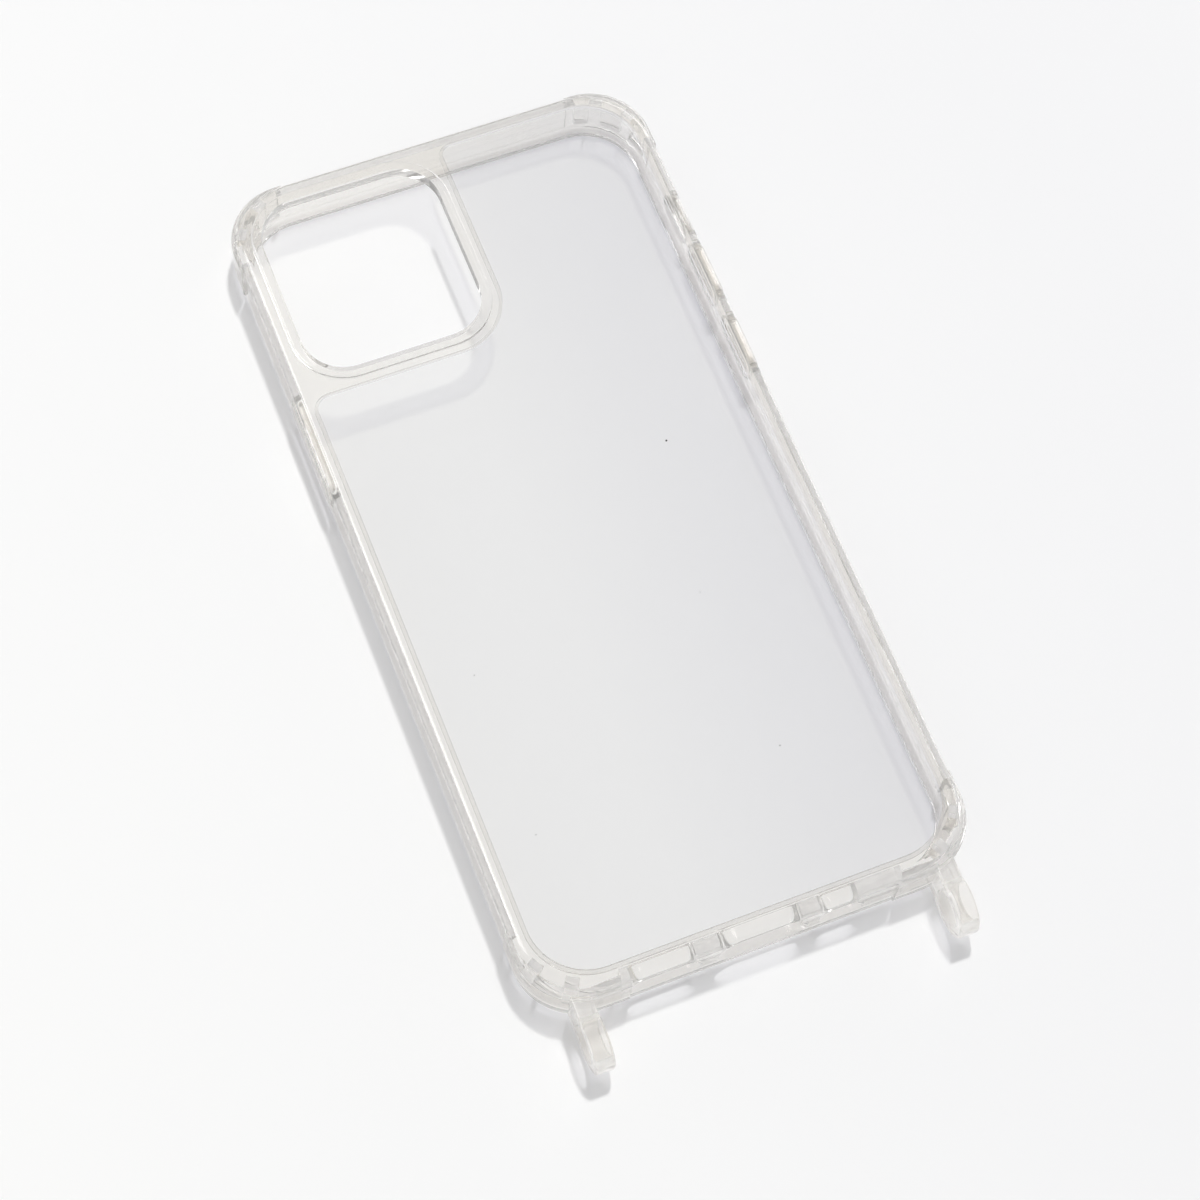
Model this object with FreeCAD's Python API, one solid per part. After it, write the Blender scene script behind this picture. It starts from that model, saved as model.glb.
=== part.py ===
import FreeCAD, Part
import math
import os

# A clear protective case for a 6.1-inch phone, lying with its back face up, in millimetres.
# Frame: the origin is at the centre of the bounding box's bottom face, where the front lip rests.
# +Z points out of the case's back, +Y towards its top end, +X to the right as seen from the back.
# A hard clear panel sits in the back of a flexible clear bumper. The bumper wraps the phone's
# four sides, curls over the front glass as a lip, and has thicker cushioned corners with air
# cells inside, a raised surround for the cameras, cut-outs for the ports and the switch, and two
# loops at the bottom end for a strap. Each of the three button covers is a pad in a window.
# The shapes are drawn about the phone's centre and moved into the frame when they are written.

V = FreeCAD.Vector

# The phone that sets every inside dimension
PHONE_WIDTH = 71.5
PHONE_LENGTH = 146.7
PHONE_DEPTH = 7.4
PHONE_CORNER_R = 10.4
SIDE_GAP = 0.1
DEPTH_GAP = 0.2

# The bumper's walls, edges and front lip
SIDE_WALL = 1.5
TOP_WALL = 1.95
BOTTOM_WALL = 2.65
BUMPER_CORNER_R = 12.4
BACK_EDGE_R = 1.8
FRONT_EDGE_R = 1.1
LIP_DEPTH = 1.4
LIP_OVERLAP = 0.9
LIP_EDGE_R = 0.5

# The hard back panel, its stepped edge, and the notch that leaves room for the cameras
PANEL_DEPTH = 1.4
PANEL_HALF_WIDTH = 34.5
PANEL_HALF_LENGTH = 72.65
PANEL_CORNER_R = 9.6
PANEL_STEP = 0.6
PANEL_STEP_DEPTH = 0.7
SEAM = 0.04
NOTCH_X = 1.8
NOTCH_Y = 34.1
NOTCH_R = 10.0
NOTCH_TOP_R = 2.0
NOTCH_SIDE_R = 2.5

# The camera opening and its raised surround
CAMERA_X = (-33.0, -1.5)
CAMERA_Y = (37.3, 71.0)
CAMERA_R = 7.5
SURROUND_WIDTH = 1.8
SURROUND_RISE = 0.9
SURROUND_EDGE_R = 0.55

# The cushioned corners and the air cells behind them
CUSHION_BULGE = 0.4
CUSHION_CORNER_R = 10.6
CUSHION_Z = (0.7, 9.6)
CUSHION_EDGE_R = 1.2
CUSHION_TOP_END_X = 26.0
CUSHION_BOTTOM_END_X = 22.4
CUSHION_START_Y = 61.8
CELL_DEPTH = 0.9
CELL_CORNER_R = 9.2
CELL_HEIGHT = 6.0
CELL_END_MARGIN = 1.2
RIB_WIDTH = 2.2
RIB_ANGLE = 16.0

# The openings through the bottom wall: left edge, right edge, low edge, high edge
SPEAKER_SLOT = (-21.9, -11.0, 3.3, 7.3)
CHARGING_PORT = (-7.1, 6.9, 2.1, 8.5)
MICROPHONE_SLOT = (9.9, 16.4, 3.3, 7.3)
PORT_CHAMFER = 0.6
SLOT_END_ROUNDING = 0.49

# The switch opening through the right wall: near edge, far edge, low edge, high edge
SWITCH_OPENING = (43.6, 52.8, 2.3, 7.9)

# The button covers: centre along the side and length. They share a height and a thickness.
POWER_CENTRE = 27.2
POWER_LENGTH = 19.6
VOLUME_UP_CENTRE = 36.0
VOLUME_DOWN_CENTRE = 21.1
VOLUME_LENGTH = 11.8
COVER_Z = (3.3, 8.3)
COVER_CORNER_R = 2.2
COVER_PROUD = 0.45
COVER_GAP = 0.25
COVER_EDGE_R = 0.5
COVER_HOLLOW = 0.6
COVER_HOLLOW_MARGIN = 1.3

# The strap loops at the bottom end
LOOP_X = (28.8, 32.2)
LOOP_CENTRE_Y = -81.5
LOOP_CENTRE_Z = 5.2
LOOP_OUTER_R = 5.1
LOOP_HOLE_R = 3.2
LOOP_NECK_HALF = 4.2
LOOP_EDGE_R = 0.5

# How far a cutting solid runs past what it cuts
CLEAR = 2.0

# Heights and half sizes that follow from the ones above
BACK_Z = LIP_DEPTH + PHONE_DEPTH + DEPTH_GAP + PANEL_DEPTH
SEAT_Z = BACK_Z - PANEL_DEPTH
STEP_Z = BACK_Z - PANEL_STEP_DEPTH
CAVITY_HALF_WIDTH = PHONE_WIDTH / 2 + SIDE_GAP
CAVITY_HALF_LENGTH = PHONE_LENGTH / 2 + SIDE_GAP
CAVITY_R = PHONE_CORNER_R + SIDE_GAP
WALL_X = CAVITY_HALF_WIDTH + SIDE_WALL
TOP_Y = CAVITY_HALF_LENGTH + TOP_WALL
BOTTOM_Y = -CAVITY_HALF_LENGTH - BOTTOM_WALL
LIP_X = CAVITY_HALF_WIDTH - LIP_OVERLAP
LIP_Y = CAVITY_HALF_LENGTH - LIP_OVERLAP

# The phone's centre in the finished frame
PHONE_Y = -(TOP_Y + CUSHION_BULGE + LOOP_CENTRE_Y - LOOP_OUTER_R) / 2


def point(axis, level, a, b):
    """A point of an outline drawn square to an axis, at that level along it."""
    if axis == "x":
        return V(level, a, b)
    if axis == "y":
        return V(a, level, b)
    return V(a, b, level)


def rounded_wire(corners, axis, level):
    """A closed outline through (a, b, radius) corners, each rounded by its own arc."""
    arcs = []
    count = len(corners)
    for i, (a, b, radius) in enumerate(corners):
        here = V(a, b, 0)
        back = (V(*corners[i - 1][:2], 0) - here).normalize()
        ahead = (V(*corners[(i + 1) % count][:2], 0) - here).normalize()
        half_angle = back.getAngle(ahead) / 2
        middle = (back + ahead).normalize()
        reach = radius / math.tan(half_angle)
        nearest = radius / math.sin(half_angle) - radius
        arcs.append([here + back * reach, here + middle * nearest, here + ahead * reach])
    edges = []
    for i, (start, middle, end) in enumerate(arcs):
        placed = [point(axis, level, p.x, p.y) for p in (start, middle, end)]
        edges.append(Part.Arc(*placed).toShape())
        after = arcs[(i + 1) % count][0]
        if (after - end).Length > 1e-6:
            next_start = point(axis, level, after.x, after.y)
            edges.append(Part.makeLine(placed[2], next_start))
    return Part.Wire(edges)


def prism(corners, axis, low, high):
    """The outline's solid, from one level to another along its axis."""
    face = Part.Face(rounded_wire(corners, axis, low))
    return face.extrude(point(axis, high - low, 0, 0))


def rectangle(low_a, high_a, low_b, high_b, radius):
    """The four rounded corners of a rectangle."""
    places = [(low_a, low_b), (high_a, low_b), (high_a, high_b), (low_a, high_b)]
    return [(a, b, radius) for a, b in places]


def stadium(low_a, high_a, low_b, high_b):
    """The corners of a slot whose short ends are nearly half round."""
    radius = SLOT_END_ROUNDING * min(high_a - low_a, high_b - low_b)
    return rectangle(low_a, high_a, low_b, high_b, radius)


def edges_at(solid, axis, level):
    """The solid's edges that lie wholly at one level along an axis."""
    found = []
    for edge in solid.Edges:
        spots = [edge.valueAt(edge.FirstParameter), edge.valueAt(edge.LastParameter)]
        if all(abs(getattr(spot, axis) - level) < 1e-4 for spot in spots):
            found.append(edge)
    return found


def rounded_edges(solid, axis, level, radius):
    """The solid with its edges at one level rounded."""
    return solid.makeFillet(radius, edges_at(solid, axis, level))


def bumper_envelope(grow=0.0):
    """The bumper's outside without its corners' cushions."""
    half_width = WALL_X + grow
    corner = BUMPER_CORNER_R + grow
    outline = rectangle(-half_width, half_width, BOTTOM_Y - grow, TOP_Y + grow, corner)
    body = prism(outline, "z", 0, BACK_Z)
    body = rounded_edges(body, "z", BACK_Z, BACK_EDGE_R)
    return rounded_edges(body, "z", 0, FRONT_EDGE_R)


def corner_zones(margin):
    """Boxes over the four corners, each starting a margin inside its cushion's ends."""
    length = TOP_Y + 2 * CLEAR - CUSHION_START_Y - margin
    zones = []
    for end, end_x in ((-1, CUSHION_BOTTOM_END_X), (1, CUSHION_TOP_END_X)):
        width = WALL_X + CLEAR - end_x - margin
        y = CUSHION_START_Y + margin if end > 0 else -TOP_Y - 2 * CLEAR
        for x in (-WALL_X - CLEAR, end_x + margin):
            zones.append(Part.makeBox(width, length, BACK_Z, V(x, y, 0)))
    return Part.makeCompound(zones)


def cushion_ring(grow=0.0):
    """A ring-shaped band that stands proud of the walls; only its corners are used."""
    half_width = WALL_X + CUSHION_BULGE + grow
    low = BOTTOM_Y - CUSHION_BULGE - grow
    high = TOP_Y + CUSHION_BULGE + grow
    band = prism(rectangle(-half_width, half_width, low, high, CUSHION_CORNER_R + grow), "z", *CUSHION_Z)
    band = rounded_edges(band, "z", CUSHION_Z[1], CUSHION_EDGE_R)
    return rounded_edges(band, "z", CUSHION_Z[0], CUSHION_EDGE_R)


def air_cells():
    """Pockets behind the cushions, open to the phone, with two ribs left between the three."""
    half_width = CAVITY_HALF_WIDTH + CELL_DEPTH
    half_length = CAVITY_HALF_LENGTH + CELL_DEPTH
    outline = rectangle(-half_width, half_width, -half_length, half_length, CELL_CORNER_R)
    pockets = prism(outline, "z", SEAT_Z - CELL_HEIGHT, SEAT_Z).common(corner_zones(CELL_END_MARGIN))
    ribs = []
    rib_length = 2 * CAVITY_R
    for side in (-1, 1):
        for end in (-1, 1):
            diagonal = math.degrees(math.atan2(end, side))
            centre = V(side * (CAVITY_HALF_WIDTH - CAVITY_R), end * (CAVITY_HALF_LENGTH - CAVITY_R), 0)
            for turn in (-RIB_ANGLE, RIB_ANGLE):
                rib = Part.makeBox(rib_length, RIB_WIDTH, BACK_Z, V(0, -RIB_WIDTH / 2, 0))
                rib.rotate(V(0, 0, 0), V(0, 0, 1), diagonal + turn)
                rib.translate(centre)
                ribs.append(rib)
    return pockets.cut(ribs)


def panel_outline(grow):
    """The back panel's outline with its camera notch, grown all round by a distance."""
    x = PANEL_HALF_WIDTH + grow
    y = PANEL_HALF_LENGTH + grow
    outer = PANEL_CORNER_R + grow
    return [
        (-x, -y, outer),
        (x, -y, outer),
        (x, y, outer),
        (NOTCH_X - grow, y, NOTCH_TOP_R + grow),
        (NOTCH_X - grow, NOTCH_Y + grow, NOTCH_R - grow),
        (-x, NOTCH_Y + grow, NOTCH_SIDE_R + grow),
    ]


def make_back_panel():
    """The hard panel: a thinner flange round its lower half goes under the bumper's border."""
    upper = prism(panel_outline(-SEAM), "z", SEAT_Z, BACK_Z)
    flange = prism(panel_outline(PANEL_STEP - SEAM), "z", SEAT_Z, STEP_Z - SEAM)
    return upper.fuse(flange).removeSplitter()


def camera_outline(grow):
    """The camera opening's outline, grown all round by a distance."""
    low_x, high_x = CAMERA_X
    low_y, high_y = CAMERA_Y
    return rectangle(low_x - grow, high_x + grow, low_y - grow, high_y + grow, CAMERA_R + grow)


def port(opening):
    """A slot cut through the bottom wall, with its outer edge opened up by a chamfer."""
    low_x, high_x, low_z, high_z = opening
    outer_y = BOTTOM_Y - CUSHION_BULGE - CLEAR
    tool = prism(stadium(low_x, high_x, low_z, high_z), "y", outer_y, -CAVITY_HALF_LENGTH + CLEAR)
    inner_wire = rounded_wire(stadium(low_x, high_x, low_z, high_z), "y", BOTTOM_Y + PORT_CHAMFER)
    grown = (low_x - PORT_CHAMFER, high_x + PORT_CHAMFER, low_z - PORT_CHAMFER, high_z + PORT_CHAMFER)
    outer_wire = rounded_wire(stadium(*grown), "y", BOTTOM_Y)
    return tool.fuse(Part.makeLoft([outer_wire, inner_wire], True, True))


def cover_outline(centre, length, grow):
    """A button cover's outline on the side wall, grown all round by a distance."""
    low_z, high_z = COVER_Z
    half = length / 2 + grow
    return rectangle(centre - half, centre + half, low_z - grow, high_z + grow, COVER_CORNER_R + grow)


def make_cover(side, centre, length):
    """A button cover: a pad with a rounded face, hollowed where the phone's button stands out."""
    outer_x = WALL_X + COVER_PROUD
    pad = prism(cover_outline(centre, length, 0), "x", CAVITY_HALF_WIDTH, outer_x)
    pad = rounded_edges(pad, "x", outer_x, COVER_EDGE_R)
    hollow_outline = cover_outline(centre, length, -COVER_HOLLOW_MARGIN)
    pad = pad.cut(prism(hollow_outline, "x", CAVITY_HALF_WIDTH - CLEAR, CAVITY_HALF_WIDTH + COVER_HOLLOW))
    if side < 0:
        pad = pad.mirror(V(0, 0, 0), V(1, 0, 0))
    return pad


def window(side, outline):
    """A cut right through one side wall."""
    start, end = CAVITY_HALF_WIDTH - CLEAR, WALL_X + CLEAR
    if side < 0:
        start, end = -end, -start
    return prism(outline, "x", start, end)


def lip_inner_edges(body):
    """The edges round the front opening, on the face that the case rests on."""
    found = []
    for edge in edges_at(body, "z", 0):
        middle = edge.CenterOfMass
        if abs(middle.x) < LIP_X + SIDE_GAP and abs(middle.y) < LIP_Y + SIDE_GAP:
            found.append(edge)
    return found


def make_bumper_frame():
    """The one-piece flexible bumper, from its outside in."""
    body = bumper_envelope().fuse(cushion_ring().common(corner_zones(0)))
    front_opening = rectangle(-LIP_X, LIP_X, -LIP_Y, LIP_Y, CAVITY_R - LIP_OVERLAP)
    body = body.cut(prism(front_opening, "z", -CLEAR, LIP_DEPTH + CLEAR))
    body = body.makeFillet(LIP_EDGE_R, lip_inner_edges(body))
    half_width = CAVITY_HALF_WIDTH
    half_length = CAVITY_HALF_LENGTH
    cavity = rectangle(-half_width, half_width, -half_length, half_length, CAVITY_R)
    body = body.cut(prism(cavity, "z", LIP_DEPTH, SEAT_Z))
    body = body.cut(prism(panel_outline(0), "z", SEAT_Z - CLEAR, BACK_Z + CLEAR))
    body = body.cut(prism(panel_outline(PANEL_STEP), "z", SEAT_Z - CLEAR, STEP_Z))
    surround = prism(camera_outline(SURROUND_WIDTH), "z", SEAT_Z, BACK_Z + SURROUND_RISE)
    surround = rounded_edges(surround, "z", BACK_Z + SURROUND_RISE, SURROUND_EDGE_R)
    body = body.fuse(surround)
    body = body.cut(prism(camera_outline(0), "z", SEAT_Z - CLEAR, BACK_Z + SURROUND_RISE + CLEAR))
    body = body.cut([port(SPEAKER_SLOT), port(CHARGING_PORT), port(MICROPHONE_SLOT)])
    body = body.cut([
        window(1, stadium(*SWITCH_OPENING)),
        window(-1, cover_outline(POWER_CENTRE, POWER_LENGTH, COVER_GAP)),
        window(1, cover_outline(VOLUME_UP_CENTRE, VOLUME_LENGTH, COVER_GAP)),
        window(1, cover_outline(VOLUME_DOWN_CENTRE, VOLUME_LENGTH, COVER_GAP)),
    ])
    return body.cut(air_cells()).removeSplitter()


def make_loop(side):
    """A strap loop: an upright ring whose neck meets the bottom wall with a hair's clearance."""
    low_x, high_x = LOOP_X
    thickness = high_x - low_x
    centre = V(low_x, LOOP_CENTRE_Y, LOOP_CENTRE_Z)
    ring = Part.makeCylinder(LOOP_OUTER_R, thickness, centre, V(1, 0, 0))
    neck_length = BOTTOM_Y + CLEAR - LOOP_CENTRE_Y
    neck = Part.makeBox(thickness, neck_length, 2 * LOOP_NECK_HALF)
    neck.translate(V(low_x, LOOP_CENTRE_Y, LOOP_CENTRE_Z - LOOP_NECK_HALF))
    loop = ring.fuse(neck).removeSplitter()
    for face_x in LOOP_X:
        loop = rounded_edges(loop, "x", face_x, LOOP_EDGE_R)
    hole = Part.makeCylinder(LOOP_HOLE_R, thickness + 2 * CLEAR, centre - V(CLEAR, 0, 0), V(1, 0, 0))
    loop = loop.cut(hole)
    loop = loop.cut([bumper_envelope(SEAM), cushion_ring(SEAM)])
    if side < 0:
        loop = loop.mirror(V(0, 0, 0), V(1, 0, 0))
    return loop


def write(node, shape):
    """Moves a piece into the finished frame and writes it."""
    shape = shape.copy()
    shape.translate(V(0, PHONE_Y, 0))
    shape.exportStep("parts/" + node + ".step")
    state = "valid" if shape.isValid() else "NOT VALID"
    print(node, len(shape.Solids), "solid", state, "volume %.1f" % shape.Volume)


os.makedirs("parts", exist_ok=True)
write("bumper_frame", make_bumper_frame())
write("back_panel", make_back_panel())
write("power_button_cover", make_cover(-1, POWER_CENTRE, POWER_LENGTH))
write("volume_up_cover", make_cover(1, VOLUME_UP_CENTRE, VOLUME_LENGTH))
write("volume_down_cover", make_cover(1, VOLUME_DOWN_CENTRE, VOLUME_LENGTH))
write("lanyard_loop_left", make_loop(-1))
write("lanyard_loop_right", make_loop(1))
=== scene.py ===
import math

import bpy
from mathutils import Matrix, Vector

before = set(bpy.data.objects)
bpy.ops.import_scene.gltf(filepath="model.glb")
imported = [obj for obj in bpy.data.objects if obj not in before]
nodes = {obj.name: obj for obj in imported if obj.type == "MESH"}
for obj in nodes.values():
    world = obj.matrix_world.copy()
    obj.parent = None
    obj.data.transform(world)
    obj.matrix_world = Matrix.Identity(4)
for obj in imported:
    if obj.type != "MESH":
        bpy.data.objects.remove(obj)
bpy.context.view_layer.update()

scene = bpy.context.scene


# ---------------------------------------------------------------- the tabletop
# A board painted matt white, on which the case lies face down. It isn't part of the object.

TABLE_SIZE = 3.0
TABLE_DROP = 0.0001         # the board is this far under the lip, because faces that coincide let light by
# Painted shade: the board's white gets greyer away from the window, for the light that falls off across
# it.
TABLE_LIT_WHITE = "FBFBFA"
TABLE_SHADED_WHITE = "F2F2F3"
TABLE_SHADE_FADE_HALF = 0.14      # half the distance over which the board goes from one white to the other
TABLE_MOTTLE = 90.0         # mm, the size of the cloudy unevenness of the paint
TABLE_MOTTLE_SHARE = 0.25
TABLE_ROUGHNESS = 0.7
TABLE_SHEEN = 0.2


def linear(hex_colour):
    """An sRGB hex colour as the linear values that a shader takes."""
    parts = [int(hex_colour[i:i + 2], 16) / 255 for i in (0, 2, 4)]
    return tuple(c / 12.92 if c <= 0.04045 else ((c + 0.055) / 1.055) ** 2.4 for c in parts) + (1.0,)


def per_mm(size):
    """The scale that makes a pattern's features this many millimetres across."""
    return 1000 / size


def add(tree, kind, settings=None, links=None):
    """Adds a node, with its settings by name, and links into its inputs by name or number."""
    node = tree.nodes.new(kind)
    for name, value in (settings or {}).items():
        if isinstance(name, int) or name in node.inputs:
            node.inputs[name].default_value = value
        else:
            setattr(node, name, value)
    for name, source in (links or {}).items():
        tree.links.new(source, node.inputs[name])
    return node


def new_material(name):
    """An empty node material and its tree."""
    material = bpy.data.materials.new(name)
    material.use_nodes = True
    material.node_tree.nodes.clear()
    return material, material.node_tree


half_table = TABLE_SIZE / 2
table_mesh = bpy.data.meshes.new("white_table")
table_corners = [(x * half_table, y * half_table, -TABLE_DROP)
                 for x, y in ((-1, -1), (1, -1), (1, 1), (-1, 1))]
table_mesh.from_pydata(table_corners, [], [(0, 1, 2, 3)])
table = bpy.data.objects.new("white_table", table_mesh)
scene.collection.objects.link(table)

# Matt emulsion: an even white with faint clouds, and painted shade that greys it away from the window.
painted_board, tree = new_material("matt white painted board")
place = add(tree, "ShaderNodeTexCoord").outputs["Object"]
across = add(tree, "ShaderNodeSeparateXYZ", {}, {"Vector": place}).outputs["X"]
painted_falloff = add(tree, "ShaderNodeMapRange", {"From Min": -TABLE_SHADE_FADE_HALF, "From Max": TABLE_SHADE_FADE_HALF},
           {"Value": across})
clouds = add(tree, "ShaderNodeTexNoise", {"Scale": per_mm(TABLE_MOTTLE), "Detail": 3.0}, {"Vector": place})
mottle_and_painted_falloff = add(tree, "ShaderNodeMath", {"operation": "MULTIPLY_ADD", 1: TABLE_MOTTLE_SHARE},
             {0: clouds.outputs["Fac"], 2: painted_falloff.outputs["Result"]})
white = add(tree, "ShaderNodeMix", {"data_type": "RGBA"}, {"Factor": mottle_and_painted_falloff.outputs["Value"]})
white.inputs["A"].default_value = linear(TABLE_LIT_WHITE)
white.inputs["B"].default_value = linear(TABLE_SHADED_WHITE)
paint = add(tree, "ShaderNodeBsdfPrincipled",
            {"Roughness": TABLE_ROUGHNESS, "Specular IOR Level": TABLE_SHEEN},
            {"Base Color": white.outputs["Result"]})
add(tree, "ShaderNodeOutputMaterial", {}, {"Surface": paint.outputs["BSDF"]})
table.data.materials.append(painted_board)


# ---------------------------------------------------------------- the light
# One small lamp, high at the back right, in a room with pale walls that fill the shadows. A dark
# doorway at the right gives the clear edges something dark to show, and two bright windows, low
# at the back right and high at the left, put white lines on them.

LAMP_SLOPE = Vector((0.25, 0.34, 1.0))
LAMP_DISTANCE = 4.0
LAMP_WIDTH = 0.32
LAMP_POWER = 86.0
ROOM_STRENGTH = 0.55
ROOM_PALE = "FFFFFF"
ROOM_DARK = "10131C"
DOORWAY = Vector((0.64, 0.5, 0.59))
DOORWAY_RIM = (0.955, 0.97)     # the cosines of the angles at which it starts and is fully dark
WINDOWS = ((Vector((-0.5, 0.36, 0.79)), 5.0), (Vector((0.7, 0.68, 0.1)), 4.0))  # aim and brightness
WINDOW_RIM = (0.95, 0.97)

lamp_data = bpy.data.lights.new("key_lamp", "AREA")
lamp_data.shape = "DISK"
lamp_data.size = LAMP_WIDTH
lamp_data.energy = LAMP_POWER
lamp = bpy.data.objects.new("key_lamp", lamp_data)
scene.collection.objects.link(lamp)
lamp.location = LAMP_SLOPE.normalized() * LAMP_DISTANCE
lamp.rotation_mode = "QUATERNION"
lamp.rotation_quaternion = LAMP_SLOPE.to_track_quat("Z", "Y")
lamp.visible_glossy = False
lamp.visible_transmission = False

# The room isn't sampled as a light, so the plastic's filter for shadow rays works on the lamp alone.
world = bpy.data.worlds.new("pale_room")
scene.world = world
world.use_nodes = True
world.cycles.sampling_method = "NONE"
tree = world.node_tree
tree.nodes.clear()
direction = add(tree, "ShaderNodeTexCoord").outputs["Generated"]
doorway = add(tree, "ShaderNodeVectorMath", {"operation": "DOT_PRODUCT", 1: DOORWAY.normalized()},
              {0: direction})
dark = add(tree, "ShaderNodeMapRange", {"From Min": DOORWAY_RIM[0], "From Max": DOORWAY_RIM[1]},
           {"Value": doorway.outputs["Value"]})
walls = add(tree, "ShaderNodeMix", {"data_type": "RGBA"}, {"Factor": dark.outputs["Result"]})
walls.inputs["A"].default_value = linear(ROOM_PALE)
walls.inputs["B"].default_value = linear(ROOM_DARK)
panes = []
for aim, power in WINDOWS:
    towards = add(tree, "ShaderNodeVectorMath", {"operation": "DOT_PRODUCT", 1: aim.normalized()},
                  {0: direction})
    panes.append(add(tree, "ShaderNodeMapRange",
                     {"From Min": WINDOW_RIM[0], "From Max": WINDOW_RIM[1], "To Max": power},
                     {"Value": towards.outputs["Value"]}))
glow = add(tree, "ShaderNodeMath", {"operation": "ADD"},
           {0: panes[0].outputs["Result"], 1: panes[1].outputs["Result"]})
# The windows are seen in the plastic. Light that the table scatters meets plain wall in their place.
bounces = add(tree, "ShaderNodeLightPath").outputs["Diffuse Depth"]
unscattered = add(tree, "ShaderNodeMath", {"operation": "LESS_THAN", 1: 0.5}, {0: bounces})
strength = add(tree, "ShaderNodeMath", {"operation": "MULTIPLY_ADD", 2: ROOM_STRENGTH},
               {0: glow.outputs["Value"], 1: unscattered.outputs["Value"]})
room = add(tree, "ShaderNodeBackground", {},
           {"Color": walls.outputs["Result"], "Strength": strength.outputs["Value"]})
add(tree, "ShaderNodeOutputWorld", {}, {"Surface": room.outputs["Background"]})


# ---------------------------------------------------------------- the camera
# It looks down at the case from the front left, with a slight roll. Clear plastic bends light
# many times, so the paths are long and sharp.

CAMERA_AZIMUTH = math.radians(-28.28)
CAMERA_ELEVATION = math.radians(66.04)
CAMERA_ROLL = math.radians(7.2)
CAMERA_PLACE = Vector((-0.09409, -0.17846, 0.44001))
CAMERA_LENS = 87.92
CAMERA_SENSOR = 36.0
CAMERA_CLIP = 0.02

flat = math.cos(CAMERA_ELEVATION)
back = Vector((math.sin(CAMERA_AZIMUTH) * flat, -math.cos(CAMERA_AZIMUTH) * flat,
               math.sin(CAMERA_ELEVATION)))
level_right = Vector((math.cos(CAMERA_AZIMUTH), math.sin(CAMERA_AZIMUTH), 0))
level_up = back.cross(level_right)
right = math.cos(CAMERA_ROLL) * level_right + math.sin(CAMERA_ROLL) * level_up
up = math.cos(CAMERA_ROLL) * level_up - math.sin(CAMERA_ROLL) * level_right
camera_data = bpy.data.cameras.new("camera")
camera_data.sensor_width = CAMERA_SENSOR
camera_data.lens = CAMERA_LENS
camera_data.clip_start = CAMERA_CLIP
camera = bpy.data.objects.new("camera", camera_data)
scene.collection.objects.link(camera)
camera.matrix_world = Matrix.Translation(CAMERA_PLACE) @ Matrix((right, up, back)).transposed().to_4x4()
scene.camera = camera
scene.view_settings.view_transform = "Standard"
scene.cycles.max_bounces = 32
scene.cycles.transmission_bounces = 24
scene.cycles.transparent_max_bounces = 32
scene.cycles.glossy_bounces = 8
scene.cycles.diffuse_bounces = 4
scene.cycles.volume_bounces = 8
scene.cycles.blur_glossy = 0.0


# ---------------------------------------------------------------- the bumper frame
# The flexible outer moulding: four walls, front lip, back border, raised camera surround and
# cushioned corners. It is injection-moulded TPU, clear but a little milky where it is thick.

TPU_IOR = 1.50
TPU_TINT = "F9F8F6"
TPU_WARM = "F7F5F1"
TPU_SHADE = "F5F5F7"        # what each surface lets by of the lamp's light
TPU_OUTER_SHADE = "6C6C70"  # the same for a steep outer wall, which guides the rest down to its foot
TPU_HAZE = "FFFEFC"
TPU_HAZE_PER_METRE = 35.0
TPU_HAZE_FORWARD = 0.3      # how much of the light that the haze turns keeps going forwards
TPU_CLEARNESS = 0.985       # the rest is scattered at the surface, which is faintly milky
TPU_WAVE = 9.0              # mm, the slow waviness that the mould's polish leaves
TPU_WAVE_DEPTH = 0.0015     # mm
TPU_SMEAR = 2.5             # mm, patches where the surface is duller from handling
TPU_DULLEST = 0.03          # roughness in the middle of such a patch


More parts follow.
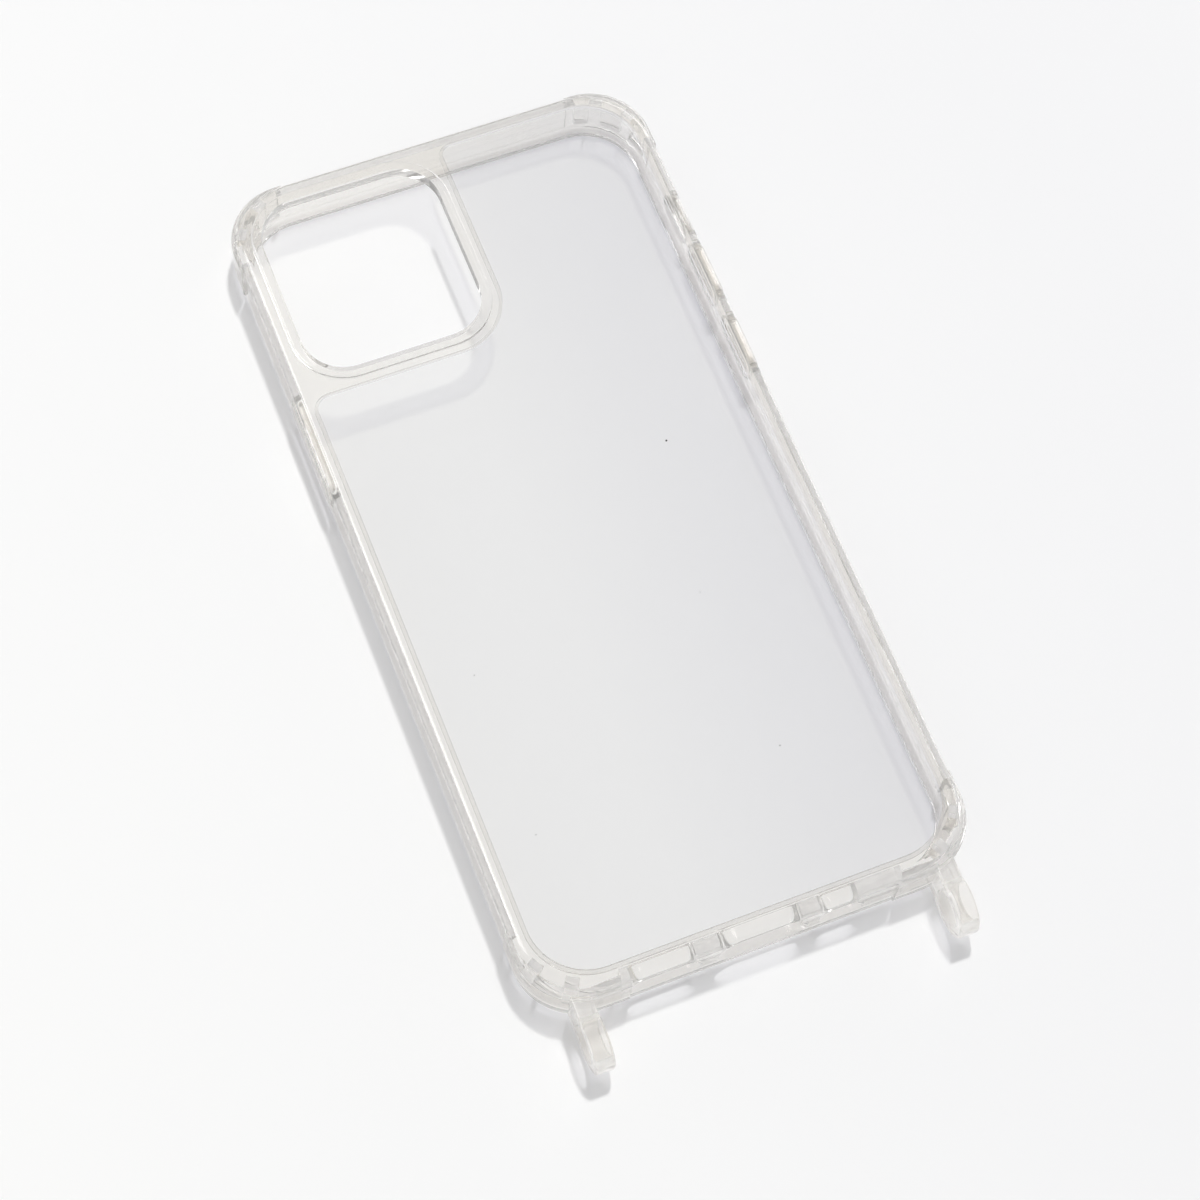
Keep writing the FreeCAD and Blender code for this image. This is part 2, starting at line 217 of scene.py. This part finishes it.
def moulded_tpu(name, haze_per_metre, clearness):
    """Clear TPU: smooth and glassy, softened by a slow waviness and by a milky haze in its depth."""
    material, tree = new_material(name)
    place = add(tree, "ShaderNodeTexCoord").outputs["Object"]
    wave = add(tree, "ShaderNodeTexNoise", {"Scale": per_mm(TPU_WAVE), "Detail": 1.0}, {"Vector": place})
    surface = add(tree, "ShaderNodeBump", {"Strength": 1.0, "Distance": TPU_WAVE_DEPTH / 1000},
                  {"Height": wave.outputs["Fac"]})
    smear = add(tree, "ShaderNodeTexNoise", {"Scale": per_mm(TPU_SMEAR), "Detail": 4.0}, {"Vector": place})
    dullness = add(tree, "ShaderNodeMapRange", {"From Min": 0.4, "From Max": 0.7, "To Max": TPU_DULLEST},
                   {"Value": smear.outputs["Fac"]})
    tone = add(tree, "ShaderNodeMix", {"data_type": "RGBA"}, {"Factor": wave.outputs["Fac"]})
    tone.inputs["A"].default_value = linear(TPU_TINT)
    tone.inputs["B"].default_value = linear(TPU_WARM)
    body = add(tree, "ShaderNodeBsdfPrincipled", {"IOR": TPU_IOR, "Transmission Weight": clearness},
               {"Base Color": tone.outputs["Result"], "Roughness": dullness.outputs["Result"],
                "Normal": surface.outputs["Normal"]})
    # For the lamp's light, each surface is a plain filter, darker where a steep outer wall is entered.
    through = add(tree, "ShaderNodeBsdfTransparent", {"Color": linear(TPU_SHADE)})
    aside = add(tree, "ShaderNodeBsdfTransparent", {"Color": linear(TPU_OUTER_SHADE)})
    steep = add(tree, "ShaderNodeLayerWeight", {"Blend": 0.5}).outputs["Facing"]
    spot = add(tree, "ShaderNodeNewGeometry")
    level = add(tree, "ShaderNodeVectorMath", {"operation": "MULTIPLY", 1: (1.0, 1.0, 0.0)},
                {0: spot.outputs["Position"]})
    away = add(tree, "ShaderNodeVectorMath", {"operation": "DOT_PRODUCT"},
               {0: spot.outputs["True Normal"], 1: level.outputs["Vector"]})
    outer = add(tree, "ShaderNodeMath", {"operation": "GREATER_THAN", 1: 0.0}, {0: away.outputs["Value"]})
    entered = add(tree, "ShaderNodeMath", {"operation": "SUBTRACT"},
                  {0: outer.outputs["Value"], 1: spot.outputs["Backfacing"]})
    guided = add(tree, "ShaderNodeMath", {"operation": "MULTIPLY", "use_clamp": True},
                 {0: steep, 1: entered.outputs["Value"]})
    lamp_side = add(tree, "ShaderNodeMixShader", {},
                    {"Fac": guided.outputs["Value"], 1: through.outputs["BSDF"], 2: aside.outputs["BSDF"]})
    shadow = add(tree, "ShaderNodeLightPath").outputs["Is Shadow Ray"]
    both = add(tree, "ShaderNodeMixShader", {},
               {"Fac": shadow, 1: body.outputs["BSDF"], 2: lamp_side.outputs["Shader"]})
    haze = add(tree, "ShaderNodeVolumeScatter",
               {"Color": linear(TPU_HAZE), "Density": haze_per_metre, "Anisotropy": TPU_HAZE_FORWARD})
    add(tree, "ShaderNodeOutputMaterial", {},
        {"Surface": both.outputs["Shader"], "Volume": haze.outputs["Volume"]})
    return material


bumper_tpu = moulded_tpu("clear moulded TPU", TPU_HAZE_PER_METRE, TPU_CLEARNESS)
nodes["bumper_frame"].data.materials.clear()
nodes["bumper_frame"].data.materials.append(bumper_tpu)


# ---------------------------------------------------------------- the back panel
# A hard clear plate that the bumper is moulded round, with a notch beside the cameras. It is
# injection-moulded polycarbonate, polished flat on both faces and coated against scratches.

PC_IOR = 1.585
PC_TINT = "F8F8F8"
PC_SHADED_TINT_RIGHT = "F0F0F2"    # painted shade: a touch greyer on the volume buttons' side, where the light falls off
PC_SHADE_FADE = (-0.01, 0.04)    # the stretch across the case over which it gets greyer
PC_SHADE = "F8F8F8"         # what each face lets by of the lamp's light
PC_SMEAR = 18.0             # mm, wide dull patches where it was wiped
PC_DULLEST = 0.03           # roughness in the middle of such a patch
SCRATCH_EVERY = 16.0        # mm between hairline scratches
SCRATCH_REACH = 0.128       # mm to each side, coarser than a real hairline, which wouldn't show
SCRATCH_ROUGHNESS = 0.12
SCRATCH_BEND = 0.015        # how much of the smears' pattern goes into the scratches' course
DUST = "3A3836"
DUST_EVERY = 20.0           # mm between places where a grain of dust may lie
DUST_RADIUS = 0.22          # mm, of the largest grain
DUST_RARITY = 0.4           # the share of those places that stay clean
BOND = 0.05                 # mm that each corner of the plate moves out, into the bumper
SAME_POINT = 0.005          # mm, points closer than this are joined
CREASE = math.radians(30)

# Hard and glassy: flat mirror-like faces, with a few wiped smears, hairlines and grains of dust.
hard_panel, tree = new_material("polished clear polycarbonate")
place = add(tree, "ShaderNodeTexCoord").outputs["Object"]
smear = add(tree, "ShaderNodeTexNoise", {"Scale": per_mm(PC_SMEAR), "Detail": 5.0}, {"Vector": place})
crooked = add(tree, "ShaderNodeMix", {"data_type": "RGBA", "Factor": SCRATCH_BEND},
              {"A": place, "B": smear.outputs["Color"]})
hairs = add(tree, "ShaderNodeTexVoronoi",
            {"feature": "DISTANCE_TO_EDGE", "voronoi_dimensions": "2D", "Scale": per_mm(SCRATCH_EVERY)},
            {"Vector": crooked.outputs["Result"]})
scratched = add(tree, "ShaderNodeMapRange",
                {"From Max": SCRATCH_REACH / SCRATCH_EVERY, "To Min": SCRATCH_ROUGHNESS, "To Max": 0.0},
                {"Value": hairs.outputs["Distance"]})
dullness = add(tree, "ShaderNodeMapRange", {"From Min": 0.4, "From Max": 0.75, "To Max": PC_DULLEST},
               {"Value": smear.outputs["Fac"]})
rough = add(tree, "ShaderNodeMath", {"operation": "ADD"},
            {0: dullness.outputs["Result"], 1: scratched.outputs["Result"]})
# Painted shade: the plate's tint greys towards the volume buttons' side, for light that falls off there.
across = add(tree, "ShaderNodeSeparateXYZ", {}, {"Vector": place}).outputs["X"]
greyer = add(tree, "ShaderNodeMapRange", {"From Min": PC_SHADE_FADE[0], "From Max": PC_SHADE_FADE[1]},
             {"Value": across})
tint_and_painted_shade = add(tree, "ShaderNodeMix", {"data_type": "RGBA"}, {"Factor": greyer.outputs["Result"]})
tint_and_painted_shade.inputs["A"].default_value = linear(PC_TINT)
tint_and_painted_shade.inputs["B"].default_value = linear(PC_SHADED_TINT_RIGHT)
clear = add(tree, "ShaderNodeBsdfPrincipled", {"IOR": PC_IOR, "Transmission Weight": 1.0},
            {"Base Color": tint_and_painted_shade.outputs["Result"], "Roughness": rough.outputs["Value"]})
grains = add(tree, "ShaderNodeTexVoronoi", {"voronoi_dimensions": "2D", "Scale": per_mm(DUST_EVERY)},
             {"Vector": place})
chance = add(tree, "ShaderNodeSeparateXYZ", {}, {"Vector": grains.outputs["Color"]})
reach = add(tree, "ShaderNodeMapRange",
            {"From Min": DUST_RARITY, "From Max": 1.0, "To Max": DUST_RADIUS / DUST_EVERY},
            {"Value": chance.outputs["X"]})
covered = add(tree, "ShaderNodeMath", {"operation": "LESS_THAN"},
              {0: grains.outputs["Distance"], 1: reach.outputs["Result"]})
under = add(tree, "ShaderNodeNewGeometry").outputs["Backfacing"]
on_top = add(tree, "ShaderNodeMath", {"operation": "SUBTRACT", "use_clamp": True},
             {0: covered.outputs["Value"], 1: under})
dust = add(tree, "ShaderNodeBsdfDiffuse", {"Color": linear(DUST)})
body = add(tree, "ShaderNodeMixShader", {},
           {"Fac": on_top.outputs["Value"], 1: clear.outputs["BSDF"], 2: dust.outputs["BSDF"]})
lamp_side = add(tree, "ShaderNodeBsdfTransparent", {"Color": linear(PC_SHADE)})
shadow = add(tree, "ShaderNodeLightPath").outputs["Is Shadow Ray"]
both = add(tree, "ShaderNodeMixShader", {},
           {"Fac": shadow, 1: body.outputs["Shader"], 2: lamp_side.outputs["BSDF"]})
add(tree, "ShaderNodeOutputMaterial", {}, {"Surface": both.outputs["Shader"]})
panel = nodes["back_panel"]
panel.data.materials.clear()
panel.data.materials.append(hard_panel)

# The plate's rim lies exactly on the moulding's. It grows by a hair, so that no two faces coincide,
# which makes it 0.07 mm wider, longer and thicker than its CAD solid.
weld = panel.modifiers.new("one skin", "WELD")
weld.merge_threshold = SAME_POINT / 1000
grow = panel.modifiers.new("bond", "DISPLACE")
grow.strength = BOND / 1000
grow.mid_level = 0.0
edges = panel.modifiers.new("crisp edges", "EDGE_SPLIT")
edges.split_angle = CREASE


# ---------------------------------------------------------------- the button covers
# Three raised pads over the phone's buttons, moulded in the same TPU as the bumper. Each is a
# thick capsule that moves on a thin web, so it looks a little milkier than the wall round it.

COVER_HAZE_PER_METRE = 80.0
COVER_CLEARNESS = 0.94

# The same soft clear plastic, with more haze: the pads read as slightly whiter capsules.
cover_tpu = moulded_tpu("clear TPU of the button pads", COVER_HAZE_PER_METRE, COVER_CLEARNESS)
for name in ("power_button_cover", "volume_up_cover", "volume_down_cover"):
    nodes[name].data.materials.clear()
    nodes[name].data.materials.append(cover_tpu)


# ---------------------------------------------------------------- the strap loops
# Two thick eyes at the bottom corners that take a carrying strap. They are one with the bumper
# on the real case, moulded in the same TPU, and milkiest because they are solid.

LOOP_HAZE_PER_METRE = 160.0
LOOP_CLEARNESS = 0.94

# The same plastic again, thick enough for its haze to soften what is seen through it.
loop_tpu = moulded_tpu("milky TPU of the strap eyes", LOOP_HAZE_PER_METRE, LOOP_CLEARNESS)
for name in ("lanyard_loop_left", "lanyard_loop_right"):
    nodes[name].data.materials.clear()
    nodes[name].data.materials.append(loop_tpu)
